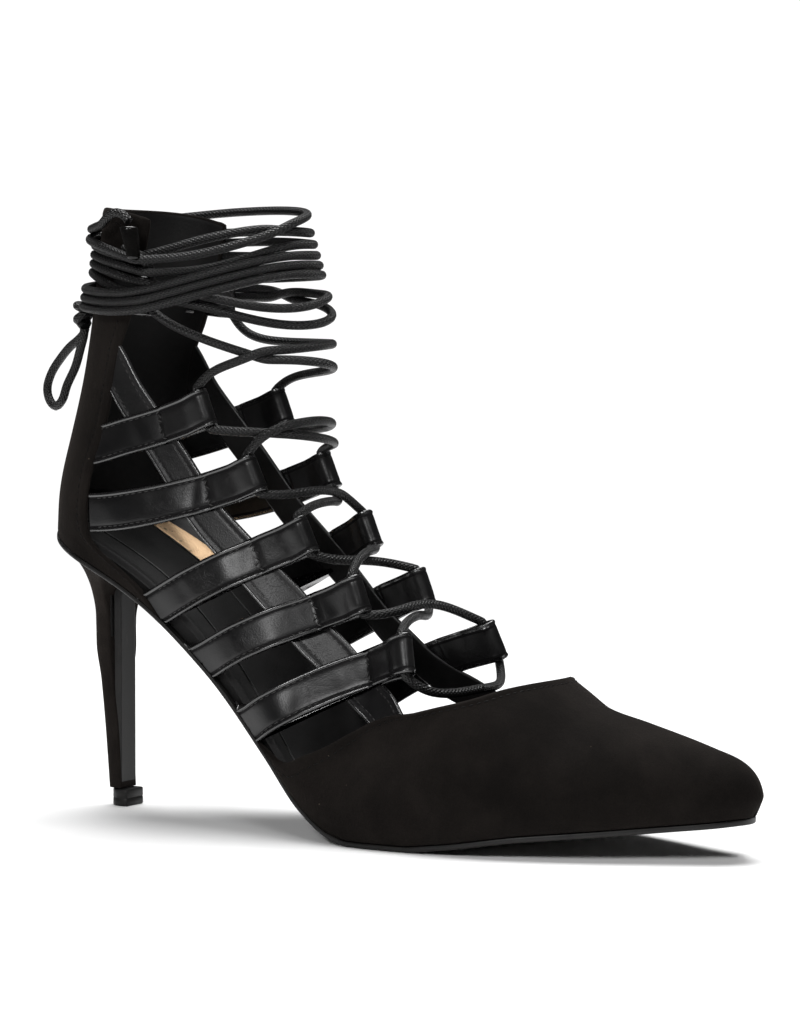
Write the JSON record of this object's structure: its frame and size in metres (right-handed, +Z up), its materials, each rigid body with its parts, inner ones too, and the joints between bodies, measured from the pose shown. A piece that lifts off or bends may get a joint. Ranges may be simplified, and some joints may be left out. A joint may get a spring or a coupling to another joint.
{
  "type": "lace up heel",
  "caption": "Black pointed stiletto shoe: closed suede vamp and tall heel counter, joined by leather straps whose loops carry a cord, laced up the throat and wound round the collar.",
  "frame": {"origin": "centre of the heel lift's face on the floor", "axes": "+X to the toe, +Y to the inner side of the foot, +Z up; the floor is Z = 0"},
  "size_m": [0.2513, 0.0802, 0.1902],
  "materials": {
    "outsole": "thin black sole, satin",
    "insole": "smooth black lining, satin",
    "heel": "wrapped in very dark suede, smooth breast",
    "heel_lift": "hard black rubber",
    "upper": "very dark brown black suede with smooth black leather straps",
    "lace": "round waxed black cord",
    "lace_tip": "glossy black sleeve"
  },
  "bodies": {
    "root": {"outsole": "outsole", "insole": "insole", "heel": "heel", "heel_lift": "heel_lift", "upper": "upper", "lace_crossing_low": "lace", "lace_crossing_middle": "lace", "lace_crossing_high": "lace", "lace_turn_low": "lace", "lace_turn_high": "lace", "lace_bar": "lace", "lace_wraps": "lace", "lace_loop": "lace", "lace_end": "lace", "lace_knot": "lace", "lace_tip": "lace_tip"}
  },
  "joints": []
}
